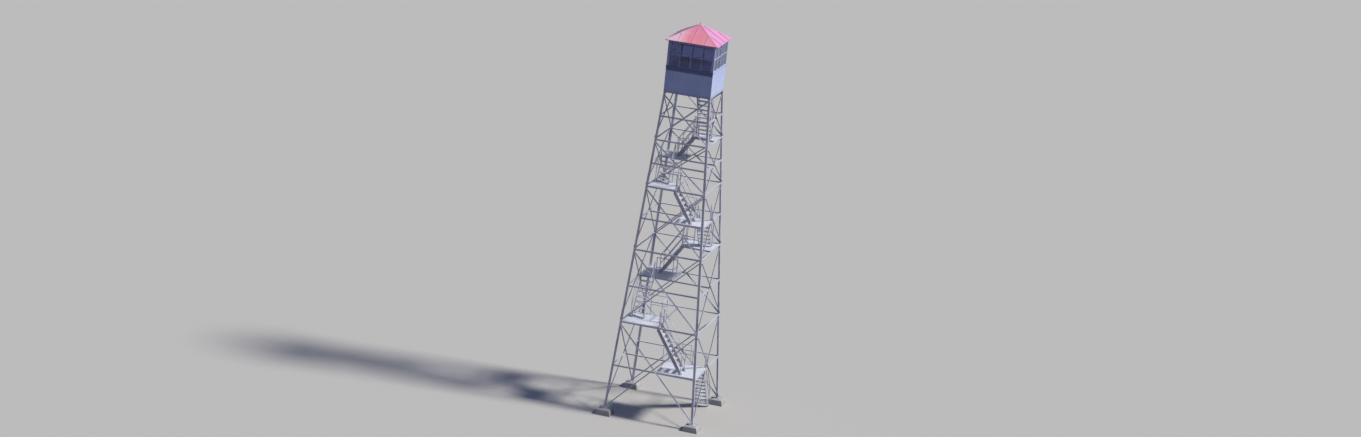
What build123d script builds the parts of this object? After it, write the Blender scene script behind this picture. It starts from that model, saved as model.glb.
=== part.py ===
from build123d import *
import os
from math import atan, cos, degrees, hypot, radians, tan

# All sizes are in millimetres. The origin is on the ground, under the middle of the tower.
# The south side is the wide side of the photograph, and x runs east.

# Lattice tower
cab_width = 2134
panel_heights = [2134, 2134, 2896, 3353, 4064]
leg_lean = 0.0707
leg_size = 102
leg_thickness = 8
girt_size = 64
girt_thickness = 8
lap_length = 70
lap_thickness = 6
brace_size = 51
brace_thickness = 6
brace_offset = 95
brace_gauge = 58
cope_length = 170
splice_panels = [2, 4]
splice_height = 420
splice_length = 360
splice_size = 96
splice_thickness = 6
seat_size = 110
seat_height = 60
seat_thickness = 8
fit_gap = 1

# Footings
footing_height = 250
footing_top = 560
footing_bottom = 700
footing_chamfer = 25
shoe_width = 260
shoe_thickness = 20
cleat_size = 90
cleat_height = 60
cleat_thickness = 8

# Cab walls and windows
wall_height = 2370
sill_height = 1190
wall_depth = 25
wall_sheet = 3
wall_rib = 30
wall_bays = 3
sill_thickness = 36
sill_depth = 90
sill_nose = 22
head_height = 120
head_depth = 60
post_size = 70
post_thickness = 6
window_frame_depth = 34
window_bar_depth = 18
window_border = 30
window_mullion = 26
window_transom = 18
lights_across = 4
lights_high = 2
glass_thickness = 4

# Cab floor and its frame
floor_beam_height = 150
floor_beam_flange = 60
floor_beam_thickness = 8
floor_thickness = 30
hatch_length = 950
hatch_start = -700
hatch_rail_gap = 10
coaming_height = 70
coaming_thickness = 6

# Roof
roof_rise = 660
roof_overhang = 120
roof_sheet = 5
hip_cap_width = 62
hip_cap_thickness = 4
roof_cap_half = 150
roof_cap_thickness = 8
rafter_depth = 60
rafter_thickness = 8
boss_radius = 18
boss_sides = 8
finial_radius = 22
finial_sides = 8
finial_height = 60
finial_taper = 8

# Stair
stair_width = 560
stringer_width = 150
stringer_thickness = 10
stair_side_gap = 130
top_stair_side_gap = 132
stair_slope = 57
top_stair_slope = 65
riser_aim = 208
tread_depth = 180
tread_height = 32
tread_sheet = 4
tread_setback = 40
landing_edge = 100
deck_inset = 30
deck_thickness = 6
joist_height = 64
joist_width = 50
joist_thickness = 6
rail_height = 900
rail_diameter = 34
rail_sides = 8
rail_lap = 90
rail_clearance = 34
landing_rail_height = 950

# Levels worked out from the sizes above
shoe_top = footing_height + shoe_thickness
cab_base = shoe_top + sum(panel_heights)
panel_levels = [cab_base - sum(panel_heights[:count]) for count in range(len(panel_heights) + 1)]
mid_levels = [(upper + lower) / 2 for upper, lower in zip(panel_levels, panel_levels[1:])]
cab_floor_top = cab_base + floor_beam_height + floor_thickness
sill_top = cab_base + sill_height
eave_level = cab_base + wall_height
eave_half = cab_width / 2 + roof_overhang
roof_slope = roof_rise / eave_half
roof_taper = 90 - degrees(atan(roof_slope))
head_bottom = eave_level + roof_overhang * roof_slope - head_height

# The four sides and corners, each with its turn about the tower's axis
sides = {"south": 0, "east": 90, "north": 180, "west": 270}
corners = {"south_west": 0, "south_east": 90, "north_east": 180, "north_west": 270}


def half_width(level):
    """Half the width over the outer faces of the legs at a level."""
    return cab_width / 2 + leg_lean * (cab_base - level)


def turned(x, y, z, turn):
    """A point or direction of the south side, turned to another side."""
    return Vector(x, y, z).rotate(Axis.Z, turn)


def leaning_plane(turn, level):
    """The outer face of a side of the tower: x to the right, y up the slope, z outwards."""
    return Plane(
        origin=turned(0, -half_width(level), level, turn),
        x_dir=turned(1, 0, 0, turn),
        z_dir=turned(0, -1, leg_lean, turn),
    )


def upright_plane(turn, distance):
    """A vertical plane that faces out of a side, at a distance from the tower's axis."""
    return Plane(
        origin=turned(0, -distance, 0, turn),
        x_dir=turned(1, 0, 0, turn),
        z_dir=turned(0, -1, 0, turn),
    )


def level_plane(turn, level):
    """A horizontal plane whose x runs to the right of a side seen from outside."""
    return Plane(origin=(0, 0, level), x_dir=turned(1, 0, 0, turn), z_dir=(0, 0, 1))


def save(piece, name):
    piece.label = name
    export_step(piece, f"parts/{name}.step")


def angle_profile(width, height, thickness):
    """An L with its corner at the origin and its arms along x and y, either of them reversed."""
    x = thickness if width > 0 else -thickness
    y = thickness if height > 0 else -thickness
    Polygon((0, 0), (width, 0), (width, y), (x, y), (x, height), (0, height), align=None)


def bar(start, end, diameter):
    """A straight eight-sided rail between two points."""
    run = end - start
    across = Vector(0, 0, 1) if abs(run.Z) < run.length / 2 else Vector(1, 0, 0)
    with BuildSketch(Plane(origin=start, x_dir=across.cross(run), z_dir=run)) as section:
        RegularPolygon(diameter / 2, rail_sides, major_radius=False, rotation=180 / rail_sides)
    extrude(section.sketch, amount=run.length)


os.makedirs("parts", exist_ok=True)

# Concrete piers under the legs
base_half = half_width(shoe_top)
footing_centre = base_half - leg_size / 2
with BuildPart() as footings:
    with BuildSketch(Plane.XY):
        with GridLocations(2 * footing_centre, 2 * footing_centre, 2, 2):
            Rectangle(footing_bottom, footing_bottom)
    with BuildSketch(Plane.XY.offset(footing_height)):
        with GridLocations(2 * footing_centre, 2 * footing_centre, 2, 2):
            Rectangle(footing_top, footing_top)
    pier_faces = footings.pending_faces
    footings.pending_faces = []
    for lower, upper in zip(pier_faces[:4], pier_faces[4:]):
        loft([lower, upper])
    chamfer(footings.faces().sort_by(Axis.Z)[-4:].edges(), footing_chamfer)
save(footings.part, "footings")


def leaning_angle(turn, level, height, inset, size, thickness):
    """An angle that leans with a leg, its corner set in from the leg's outer corner."""
    corner = inset - half_width(level)
    lean = turned(leg_lean, leg_lean, 1, turn)
    with BuildSketch(level_plane(turn, level)) as profile:
        with Locations((corner, corner)):
            angle_profile(size, size, thickness)
    extrude(profile.sketch, amount=height * lean.length, dir=lean)


# Steel plates under the legs, each with an upright cleat inside its leg
with BuildPart() as shoe_plates:
    with BuildSketch(Plane.XY.offset(footing_height)):
        with GridLocations(2 * footing_centre, 2 * footing_centre, 2, 2):
            Rectangle(shoe_width, shoe_width)
    extrude(amount=shoe_thickness)
    for turn in corners.values():
        leaning_angle(turn, shoe_top, cleat_height, leg_thickness, cleat_size, cleat_thickness)
save(shoe_plates.part, "shoe_plates")

# Legs of angle iron, leaning in from the shoes to the cab
for corner, turn in corners.items():
    with BuildPart() as leg:
        leaning_angle(turn, shoe_top, cab_base - shoe_top, 0, leg_size, leg_thickness)
    save(leg.part, f"leg_{corner}")

# Cover angles bolted round the joints of the legs, and the seats that carry the cab on them
with BuildPart() as leg_fittings:
    for turn in corners.values():
        for panel in splice_panels:
            bottom = panel_levels[panel] + splice_height - splice_length / 2
            leaning_angle(turn, bottom, splice_length, -splice_thickness, splice_size, splice_thickness)
        leaning_angle(turn, cab_base - seat_height, seat_height, leg_thickness, seat_size, seat_thickness)
        with BuildSketch(level_plane(turn, cab_base)) as seat:
            seat_middle = leg_thickness + seat_size / 2 - cab_width / 2
            with Locations((seat_middle, seat_middle)):
                Rectangle(seat_size, seat_size)
        extrude(seat.sketch, amount=-seat_thickness)
save(leg_fittings.part, "leg_fittings")


def girt(turn, level, cope_middle=None):
    """A level angle between two legs, with an end tab lapped over each leg.

    The arm that points inwards is coped where an inner diagonal passes it.
    """
    plane = leaning_plane(turn, level)
    top_half = half_width(level + girt_size / 2) - leg_size - fit_gap
    with BuildSketch(plane) as flat_arm:
        Rectangle(2 * top_half, girt_size)
    extrude(flat_arm.sketch, amount=-girt_thickness)
    arm_middle = (girt_size - girt_thickness) / 2
    with BuildSketch(plane.offset(-girt_thickness)) as inward_arm:
        with Locations((0, arm_middle)):
            Rectangle(2 * top_half, girt_thickness)
        if cope_middle is not None:
            with Locations((cope_middle, arm_middle)):
                Rectangle(cope_length, girt_thickness, mode=Mode.SUBTRACT)
    extrude(inward_arm.sketch, amount=-(girt_size - girt_thickness))
    with BuildSketch(plane) as tabs:
        for way in (-1, 1):
            with Locations((way * (top_half + fit_gap), 0)):
                Rectangle(2 * lap_length, girt_size)
    extrude(tabs.sketch, amount=lap_thickness)


def brace_reach(level):
    """How far from the middle of a side a diagonal ends, if it ends at this level."""
    return half_width(level) - brace_gauge


def inner_brace_middle(upper, lower, level):
    """Where the inner diagonal of a panel stands at a level, to the right of the side's middle."""
    top = upper - brace_offset
    bottom = lower + brace_offset
    share = (top - level) / (top - bottom)
    return brace_reach(top) - share * (brace_reach(top) + brace_reach(bottom))


def brace(turn, upper, lower, rising, inside):
    """A diagonal angle of one panel, its flat arm against the face of the legs."""
    top = upper - brace_offset
    bottom = lower + brace_offset
    way = 1 if rising else -1
    layer = leaning_plane(turn, cab_base).z_dir * (-leg_thickness if inside else 0)
    start = turned(-way * brace_reach(bottom), -half_width(bottom), bottom, turn) + layer
    end = turned(way * brace_reach(top), -half_width(top), top, turn) + layer
    run = end - start
    outwards = leaning_plane(turn, cab_base).z_dir * (-1 if inside else 1)
    up_side = outwards.cross(run).normalized()
    if up_side.Z < 0:
        up_side = up_side * -1
    section = Plane(origin=start - up_side * brace_size / 2, x_dir=up_side, z_dir=run)
    arm_sign = 1 if section.y_dir.dot(outwards) > 0 else -1
    with BuildSketch(section) as profile:
        angle_profile(brace_size, arm_sign * brace_size, brace_thickness)
    extrude(profile.sketch, amount=run.length)


# Level bars and crossed diagonals of each side
for side, turn in sides.items():
    with BuildPart() as girts:
        for level in panel_levels[1:-1]:
            girt(turn, level)
        for upper, level, lower in zip(panel_levels, mid_levels, panel_levels[1:]):
            girt(turn, level, inner_brace_middle(upper, lower, level + girt_size / 2))
    save(girts.part, f"girts_{side}")

    with BuildPart() as braces:
        for upper, lower in zip(panel_levels, panel_levels[1:]):
            brace(turn, upper, lower, rising=False, inside=False)
            brace(turn, upper, lower, rising=True, inside=True)
    save(braces.part, f"braces_{side}")

# Stair flights, each given in the frame of the side that it runs along, from its top down
landing_levels = [
    panel_levels[1], mid_levels[1], panel_levels[2], mid_levels[2],
    panel_levels[3], mid_levels[3], panel_levels[4], mid_levels[4],
]
landing_turns = [180, 270, 0, 90, 180, 270, 0, 90]


def deck_top(level):
    return level + girt_size / 2 + deck_thickness


class Flight:
    """A straight stair from a floor or landing edge down to the next landing."""

    def __init__(self, turn, start, top, bottom, slope, outer):
        self.turn = turn
        self.start = start
        self.top = top
        self.bottom = bottom
        self.grade = tan(radians(slope))
        self.slope = slope
        self.end = start + (top - bottom) / self.grade
        self.outer = outer
        self.inner = self.outer - stair_width - 2 * stringer_thickness
        self.risers = round((top - bottom) / riser_aim)

    def line(self, x):
        """Height of the line through the middles of the treads."""
        return self.top - (x - self.start + tread_setback) * self.grade

    def band(self):
        """Half the height of a stringer, measured upright."""
        return stringer_width / 2 / cos(radians(self.slope))

    def point(self, x, distance, z):
        return turned(x, -distance, z, self.turn)


flights = [Flight(90, hatch_start, cab_floor_top, deck_top(landing_levels[0]),
                  top_stair_slope, half_width(cab_base) - top_stair_side_gap)]
for number, (level, turn) in enumerate(zip(landing_levels, landing_turns)):
    last = number == len(landing_levels) - 1
    foot = 0 if last else deck_top(landing_levels[number + 1])
    flights.append(Flight(turn, -landing_edge, deck_top(level), foot, stair_slope,
                          half_width(level) - stair_side_gap))

# Landings: a plate over one quarter of the tower, on the girts and on two joists
with BuildPart() as landing_decks:
    for level, turn in zip(landing_levels, landing_turns):
        outer = half_width(level) - deck_inset
        size = outer - landing_edge
        with BuildSketch(level_plane(turn, level + girt_size / 2)):
            with Locations((-(outer + landing_edge) / 2, -(outer + landing_edge) / 2)):
                Rectangle(size, size)
        extrude(amount=deck_thickness)
save(landing_decks.part, "landing_decks")


def joist(section, length):
    """An angle with its flat arm up, drawn out along the section's normal."""
    down = 1 if section.y_dir.Z < 0 else -1
    with BuildSketch(section) as profile:
        angle_profile(joist_width, down * joist_height, joist_thickness)
    extrude(profile.sketch, amount=length)


with BuildPart() as landing_joists:
    for level, turn in zip(landing_levels, landing_turns):
        reach = half_width(level + girt_size / 2) - girt_size - 2 * fit_gap
        section = Plane(
            origin=turned(-landing_edge, -reach, level + girt_size / 2, turn),
            x_dir=turned(-1, 0, 0, turn),
            z_dir=turned(0, 1, 0, turn),
        )
        joist(section, 2 * reach)
        section = Plane(
            origin=turned(-reach, -landing_edge, level + girt_size / 2, turn),
            x_dir=turned(0, -1, 0, turn),
            z_dir=turned(1, 0, 0, turn),
        )
        joist(section, reach - landing_edge - joist_width - fit_gap)
save(landing_joists.part, "landing_joists")

# Stringers: a band cut level at the floor it stands on and upright at the edge it hangs from
with BuildPart() as stair_stringers:
    for flight in flights:
        band = flight.band()
        upper_x = flight.start - tread_setback + band / flight.grade
        for distance in (flight.outer - stringer_thickness, flight.inner):
            with BuildSketch(upright_plane(flight.turn, distance)):
                Polygon(
                    (flight.start, flight.top),
                    (upper_x, flight.top),
                    (flight.end - tread_setback + band / flight.grade, flight.bottom),
                    (flight.end - tread_setback - band / flight.grade, flight.bottom),
                    (flight.start, flight.line(flight.start) - band),
                    align=None,
                )
            extrude(amount=stringer_thickness)
save(stair_stringers.part, "stair_stringers")


def treads(flight):
    """The steps of a flight: plates folded down along both long edges."""
    for count in range(1, flight.risers):
        z = flight.top - count * (flight.top - flight.bottom) / flight.risers
        x = flight.start - tread_setback + (flight.top - z) / flight.grade
        inner_face = flight.inner + stringer_thickness
        with BuildSketch(upright_plane(flight.turn, inner_face)) as section:
            with Locations((x, z - tread_height / 2)):
                Rectangle(tread_depth, tread_height)
            with Locations((x, z - tread_height / 2 - tread_sheet)):
                Rectangle(tread_depth - 2 * tread_sheet, tread_height, mode=Mode.SUBTRACT)
        extrude(section.sketch, amount=stair_width)


tread_groups = {"upper": flights[:4], "middle": flights[4:7], "lower": flights[7:]}
for group, members in tread_groups.items():
    with BuildPart() as group_treads:
        for flight in members:
            treads(flight)
    save(group_treads.part, f"treads_{group}")

# Handrails: two posts lapped on the side of each stringer, a top rail and a knee rail
with BuildPart() as stair_handrails:
    for flight in flights:
        radius = rail_diameter / 2
        upper_x = flight.start + tread_depth / 2
        lower_x = flight.end - tread_setback
        for distance in (flight.outer + radius, flight.inner - radius):
            for x in (upper_x, lower_x):
                foot = max(flight.line(x) - rail_lap / 2, flight.bottom)
                bar(flight.point(x, distance, foot),
                    flight.point(x, distance, flight.line(x) + rail_height), rail_diameter)
            for height in (rail_height - radius, rail_height / 2):
                bar(flight.point(upper_x, distance, flight.line(upper_x) + height),
                    flight.point(lower_x, distance, flight.line(lower_x) + height), rail_diameter)
save(stair_handrails.part, "stair_handrails")

# Rails round the free corner of each landing
with BuildPart() as landing_rails:
    for number, (level, turn) in enumerate(zip(landing_levels, landing_turns)):
        foot = deck_top(level)
        newel = -landing_edge - rail_diameter
        leaving = -flights[number + 1].inner + rail_diameter + rail_clearance
        arriving = -flights[number].inner + rail_diameter + rail_clearance
        spots = [(newel, leaving), (newel, newel), (arriving, newel)]
        for x, y in spots:
            bar(turned(x, y, foot, turn), turned(x, y, foot + landing_rail_height, turn), rail_diameter)
        for height in (landing_rail_height - rail_diameter / 2, landing_rail_height / 2):
            for (x1, y1), (x2, y2) in zip(spots, spots[1:]):
                bar(turned(x1, y1, foot + height, turn),
                    turned(x2, y2, foot + height, turn), rail_diameter)
save(landing_rails.part, "landing_rails")

# Frame under the cab floor: an angle round the edge, joists, and trimmers at the hatch
beam_half = cab_width / 2 - wall_depth
hatch_outer = flights[0].outer + rail_diameter + hatch_rail_gap
hatch_inner = flights[0].inner - rail_diameter - hatch_rail_gap
hatch_end = hatch_start + hatch_length
with BuildPart() as cab_floor_beams:
    with BuildSketch(Plane.XY.offset(cab_base)):
        Rectangle(2 * beam_half, 2 * beam_half)
        Rectangle(2 * (beam_half - floor_beam_flange), 2 * (beam_half - floor_beam_flange),
                  mode=Mode.SUBTRACT)
    extrude(amount=floor_beam_thickness)
    with BuildSketch(Plane.XY.offset(cab_base)):
        Rectangle(2 * beam_half, 2 * beam_half)
        Rectangle(2 * (beam_half - floor_beam_thickness), 2 * (beam_half - floor_beam_thickness),
                  mode=Mode.SUBTRACT)
        trimmer = hatch_inner - floor_beam_thickness / 2
        for x in (-beam_half / 2, -floor_beam_thickness, trimmer):
            with Locations((x, 0)):
                Rectangle(floor_beam_thickness, 2 * beam_half)
        for y in (hatch_start - floor_beam_thickness / 2, hatch_end + floor_beam_thickness / 2):
            with Locations(((hatch_inner + beam_half) / 2, y)):
                Rectangle(beam_half - hatch_inner, floor_beam_thickness)
    extrude(amount=floor_beam_height)
save(cab_floor_beams.part, "cab_floor_beams")

with BuildPart() as cab_floor:
    with BuildSketch(Plane.XY.offset(cab_base + floor_beam_height)):
        Rectangle(2 * beam_half, 2 * beam_half)
        with Locations(((hatch_inner + hatch_outer) / 2, (hatch_start + hatch_end) / 2)):
            Rectangle(hatch_outer - hatch_inner, hatch_length, mode=Mode.SUBTRACT)
    extrude(amount=floor_thickness)
save(cab_floor.part, "cab_floor")

# Low upstand round three sides of the hatch, open where the stair arrives
with BuildPart() as hatch_coaming:
    with BuildSketch(Plane.XY.offset(cab_floor_top)):
        with Locations(((hatch_inner + hatch_outer) / 2, (hatch_start + hatch_end) / 2)):
            Rectangle(hatch_outer - hatch_inner + 2 * coaming_thickness, hatch_length)
            Rectangle(hatch_outer - hatch_inner, hatch_length, mode=Mode.SUBTRACT)
        with Locations(((hatch_inner + hatch_outer) / 2, hatch_end + coaming_thickness / 2)):
            Rectangle(hatch_outer - hatch_inner + 2 * coaming_thickness, coaming_thickness)
    extrude(amount=coaming_height)
save(hatch_coaming.part, "hatch_coaming")

# Walls below the windows: sheets folded into shallow pans with ribs on the inner side
wall_length = cab_width - wall_depth
wall_top = sill_top - sill_thickness
for side, turn in sides.items():
    with BuildPart() as wall:
        outer_plane = upright_plane(turn, cab_width / 2)
        with BuildSketch(outer_plane):
            with Locations((-wall_depth / 2, (cab_base + wall_top) / 2)):
                Rectangle(wall_length, wall_top - cab_base)
        extrude(amount=-wall_depth)
        bay = (wall_length - wall_rib) / wall_bays
        with BuildSketch(outer_plane.offset(-wall_depth)):
            with Locations((-wall_depth / 2, (cab_base + wall_top) / 2)):
                with GridLocations(bay, 0, wall_bays, 1):
                    Rectangle(bay - wall_rib, wall_top - cab_base - 2 * wall_rib)
        extrude(amount=wall_depth - wall_sheet, mode=Mode.SUBTRACT)
    save(wall.part, f"wall_{side}")

# Sills: one ring on top of the walls, with a nose outside
with BuildPart() as window_sills:
    with BuildSketch(Plane.XY.offset(wall_top)):
        Rectangle(cab_width + 2 * sill_nose, cab_width + 2 * sill_nose)
        Rectangle(cab_width - 2 * (sill_depth - sill_nose), cab_width - 2 * (sill_depth - sill_nose),
                  mode=Mode.SUBTRACT)
    extrude(amount=sill_thickness)
save(window_sills.part, "window_sills")

# Corner posts of angle iron, between the sills and the head rails
with BuildPart() as corner_posts:
    for turn in corners.values():
        with BuildSketch(level_plane(turn, sill_top)):
            with Locations((-cab_width / 2, -cab_width / 2)):
                angle_profile(post_size, post_size, post_thickness)
    extrude(amount=head_bottom - sill_top)
save(corner_posts.part, "corner_posts")

# Head rails: one ring over the windows, its top bevelled to the slope of the roof
with BuildPart() as head_rails:
    top_of_ring = head_bottom + head_height + head_depth * roof_slope
    with BuildSketch(Plane.XY.offset(head_bottom)):
        Rectangle(cab_width, cab_width)
        Rectangle(cab_width - 2 * head_depth, cab_width - 2 * head_depth, mode=Mode.SUBTRACT)
    extrude(amount=top_of_ring - head_bottom)
    spread = eave_half + (eave_level - head_bottom) / roof_slope
    with BuildSketch(Plane.XY.offset(head_bottom)):
        Rectangle(2 * spread, 2 * spread)
    extrude(amount=(spread - fit_gap) * roof_slope, taper=roof_taper, mode=Mode.INTERSECT)
save(head_rails.part, "head_rails")

# Window frames and one sheet of glass a side
window_width = cab_width - 2 * post_size
window_height = head_bottom - sill_top
light_width = (window_width - 2 * window_border - (lights_across - 1) * window_mullion) / lights_across
light_height = (window_height - 2 * window_border - (lights_high - 1) * window_transom) / lights_high
for side, turn in sides.items():
    window_centre = (sill_top + head_bottom) / 2
    with BuildPart() as window_frame:
        with BuildSketch(upright_plane(turn, cab_width / 2 - post_thickness)):
            with Locations((0, window_centre)):
                Rectangle(window_width, window_height)
                with GridLocations(light_width + window_mullion, light_height + window_transom,
                                   lights_across, lights_high):
                    Rectangle(light_width, light_height, mode=Mode.SUBTRACT)
        extrude(amount=-window_bar_depth)
        with BuildSketch(upright_plane(turn, cab_width / 2 - post_thickness - window_bar_depth)):
            with Locations((0, window_centre)):
                Rectangle(window_width, window_height)
                Rectangle(window_width - 2 * window_border, window_height - 2 * window_border,
                          mode=Mode.SUBTRACT)
        extrude(amount=-(window_frame_depth - window_bar_depth))
    save(window_frame.part, f"window_frame_{side}")

    with BuildPart() as glass:
        with BuildSketch(upright_plane(turn, cab_width / 2 - post_thickness - window_bar_depth)):
            with Locations((0, window_centre)):
                Rectangle(window_width - 2 * window_border, window_height - 2 * window_border)
        extrude(amount=-glass_thickness)
    save(glass.part, f"glass_{side}")


def roof_plane(turn):
    """The underside of one slope of the roof, with its origin at the middle of the eave."""
    return Plane(
        origin=turned(0, -eave_half, eave_level, turn),
        x_dir=turned(1, 0, 0, turn),
        z_dir=turned(0, -roof_slope, 1, turn),
    )


# Roof sheets: four triangles that meet at the hips
slope_length = hypot(eave_half, roof_rise)
with BuildPart() as roof_sheets:
    for turn in sides.values():
        with BuildSketch(roof_plane(turn)):
            Polygon((-eave_half + fit_gap, 0), (eave_half - fit_gap, 0),
                    (0, slope_length * (1 - fit_gap / eave_half)), align=None)
        extrude(amount=roof_sheet)
save(roof_sheets.part, "roof_sheets")

# Ridge caps over the hips, folded to the angle between the slopes
slope_normal = Vector(0, -roof_slope, 1).normalized()
next_normal = turned(slope_normal.X, slope_normal.Y, slope_normal.Z, 90)
hip_up = (slope_normal + next_normal).normalized()
fold = hip_up.get_angle(slope_normal)
sheet_rise = roof_sheet / cos(radians(fold))
fold_rise = hip_cap_thickness / cos(radians(fold))
wing_drop = hip_cap_width * tan(radians(fold))
with BuildPart() as roof_hips:
    for turn in sides.values():
        eave_corner = turned(eave_half, -eave_half, eave_level, turn)
        apex = Vector(0, 0, eave_level + roof_rise)
        run = apex - eave_corner
        start = eave_corner + run * (hip_cap_width / run.length)
        length = run.length * (1 - roof_cap_half / eave_half) - hip_cap_width
        across = turned(1, 1, 0, turn)
        section = Plane(origin=start, x_dir=across, z_dir=run)
        way = 1 if section.y_dir.Z > 0 else -1
        with BuildSketch(section):
            Polygon(
                (0, way * sheet_rise),
                (hip_cap_width, way * (sheet_rise - wing_drop)),
                (hip_cap_width, way * (sheet_rise - wing_drop + fold_rise)),
                (0, way * (sheet_rise + fold_rise)),
                (-hip_cap_width, way * (sheet_rise - wing_drop + fold_rise)),
                (-hip_cap_width, way * (sheet_rise - wing_drop)),
                align=None,
            )
        extrude(amount=length)
save(roof_hips.part, "roof_hips")

# Rafters under the hips and up the middle of each slope, joined by a boss where they meet
rafter_foot = cab_width / 2 - head_depth - rafter_thickness / 2
hip_bevel = tan(radians(fold))
with BuildPart() as roof_rafters:
    for turn in sides.values():
        for x, bevel in ((rafter_foot, hip_bevel), (0, 0)):
            ridge = turned(x, -rafter_foot, eave_level + (eave_half - rafter_foot) * roof_slope, turn)
            run = Vector(0, 0, eave_level + roof_rise) - ridge
            across = Vector(0, 0, 1).cross(run)
            section = Plane(origin=ridge, x_dir=across, z_dir=run)
            way = 1 if section.y_dir.Z > 0 else -1
            half = rafter_thickness / 2
            with BuildSketch(section) as profile:
                Polygon(
                    (0, 0),
                    (half, -way * half * bevel),
                    (half, -way * rafter_depth),
                    (-half, -way * rafter_depth),
                    (-half, -way * half * bevel),
                    align=None,
                )
            extrude(profile.sketch, amount=run.length - rafter_thickness)
    with BuildSketch(Plane.XY.offset(eave_level + roof_rise - boss_radius * roof_slope)) as boss:
        RegularPolygon(boss_radius, boss_sides)
    extrude(boss.sketch, amount=-rafter_depth)
save(roof_rafters.part, "roof_rafters")

# Cap over the point where the hips meet, with a short finial
sheet_lift = roof_sheet * hypot(1, roof_slope)
cap_underside = eave_level + roof_rise + sheet_lift
cap_rim = cap_underside - roof_cap_half * roof_slope
cap_flat = finial_radius / 2
cap_rise = (roof_cap_half - cap_flat) * roof_slope
with BuildPart() as roof_cap:
    with BuildSketch(Plane.XY.offset(cap_rim)):
        Rectangle(2 * roof_cap_half, 2 * roof_cap_half)
    extrude(amount=roof_cap_thickness)
    with BuildSketch(Plane.XY.offset(cap_rim + roof_cap_thickness)):
        Rectangle(2 * roof_cap_half, 2 * roof_cap_half)
    extrude(amount=cap_rise, taper=roof_taper)
    with BuildSketch(Plane.XY.offset(cap_rim)):
        Rectangle(2 * roof_cap_half, 2 * roof_cap_half)
    extrude(amount=(roof_cap_half - fit_gap) * roof_slope, taper=roof_taper, mode=Mode.SUBTRACT)
    with BuildSketch(Plane.XY.offset(cap_underside)):
        RegularPolygon(finial_radius, finial_sides)
    extrude(amount=finial_height, taper=finial_taper)
save(roof_cap.part, "roof_cap")

print("height over the finial", round(roof_cap.part.bounding_box().max.Z))
print("half width at the shoes", round(base_half))
for flight in flights:
    print("flight along", flight.turn, "risers", flight.risers,
          "riser", round((flight.top - flight.bottom) / flight.risers),
          "from", round(flight.start), "to", round(flight.end), "room", round(flight.outer))
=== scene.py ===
# %% [markdown]
# # A fire lookout tower, dressed in Blender
#
# The tower stands on four leaning legs of angle iron, tied together by level bars and crossed
# diagonals. A stair winds up inside it to a small sheet-metal cab with windows all round and a
# faded red roof. The steel, the walls and the roof come in as fixed solids at their real size.
# This script gives them their finishes and adds what smith, glazier and carpenter add last:
# bolts, welds, seams, putty, tread plate and floor boards.

# %% Load the tower as it was built
import math

import bpy
import numpy as np
from mathutils import Matrix, Quaternion, Vector


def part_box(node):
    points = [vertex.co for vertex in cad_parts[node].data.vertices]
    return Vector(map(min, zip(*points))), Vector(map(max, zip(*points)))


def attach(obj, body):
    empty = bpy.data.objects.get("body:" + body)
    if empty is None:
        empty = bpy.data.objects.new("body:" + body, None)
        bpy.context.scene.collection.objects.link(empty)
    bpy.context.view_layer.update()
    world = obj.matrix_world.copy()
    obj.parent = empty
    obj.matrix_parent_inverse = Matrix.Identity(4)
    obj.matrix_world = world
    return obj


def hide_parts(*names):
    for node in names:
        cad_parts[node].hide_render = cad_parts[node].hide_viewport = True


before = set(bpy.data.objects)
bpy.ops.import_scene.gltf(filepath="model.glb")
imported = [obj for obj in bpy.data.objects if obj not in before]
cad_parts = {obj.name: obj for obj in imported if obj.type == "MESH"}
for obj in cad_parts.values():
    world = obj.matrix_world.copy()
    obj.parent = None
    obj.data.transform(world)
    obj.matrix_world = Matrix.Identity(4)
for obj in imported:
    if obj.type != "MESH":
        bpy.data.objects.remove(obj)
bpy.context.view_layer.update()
print("pieces that came in:", len(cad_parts))

# %% [markdown]
# ## Sizes that the dressing needs
#
# Everything is in metres, with z up and the origin on the ground under the middle of the tower.
# The width, the lean of the legs and the levels of their ends are read from the solids, so that
# a bolt always lands on its bar. The panel heights run down from the cab: to the first level
# bar, from bar to bar, and from the last bar to the feet of the legs.

# %% Sizes of the lattice
leg_size = 0.102
leg_thickness = 0.008
leg_low, leg_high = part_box("leg_south_west")
shoe_top = leg_low.z
cab_base = leg_high.z
base_half = -leg_low.x
cab_half = leg_size - leg_high.x
lean = (base_half - cab_half) / (cab_base - shoe_top)
panel_heights = [2.134, 2.134, 2.896, 3.353, 4.064]
panel_levels = [cab_base - sum(panel_heights[:count]) for count in range(len(panel_heights) + 1)]
mid_levels = [(upper + lower) / 2 for upper, lower in zip(panel_levels, panel_levels[1:])]
sides = {"south": 0, "east": 90, "north": 180, "west": 270}
print("half width at the cab and the shoes:", round(cab_half, 3), round(base_half, 3))
print("levels of the bars:", [round(level, 3) for level in panel_levels])

# %% [markdown]
# Each side of the tower is the same as the south side, turned about the upright axis. So a
# point is worked out once, on the south side, and then turned by 0, 90, 180 or 270 degrees.


# %% Points on the four sides
def turned(x, y, z, turn):
    """A point or direction of the south side, turned to another side."""
    angle = math.radians(turn)
    return Vector((
        x * math.cos(angle) - y * math.sin(angle),
        x * math.sin(angle) + y * math.cos(angle),
        z,
    ))


def half_width(level):
    """Half the width over the legs' outer faces at a level."""
    return cab_half + lean * (cab_base - level)


def face_normal(turn):
    """The direction that a leaning side faces."""
    return turned(0, -1, lean, turn).normalized()


def face_point(turn, x, level, out=0.0):
    """A point on a leaning side: x to the right, out from the legs' outer face."""
    return turned(x, -half_width(level), level, turn) + face_normal(turn) * out


print("front corner at the first bar:", face_point(0, half_width(panel_levels[1]), panel_levels[1]))

# %% [markdown]
# ## The camera
#
# The photograph was taken from the air, about 125 metres away, looking a little down on the
# tower. The camera stands there and aims at the middle of the tower, with a long lens that
# makes it fill the picture. The roll gives it the lean that it has in the photograph.


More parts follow.
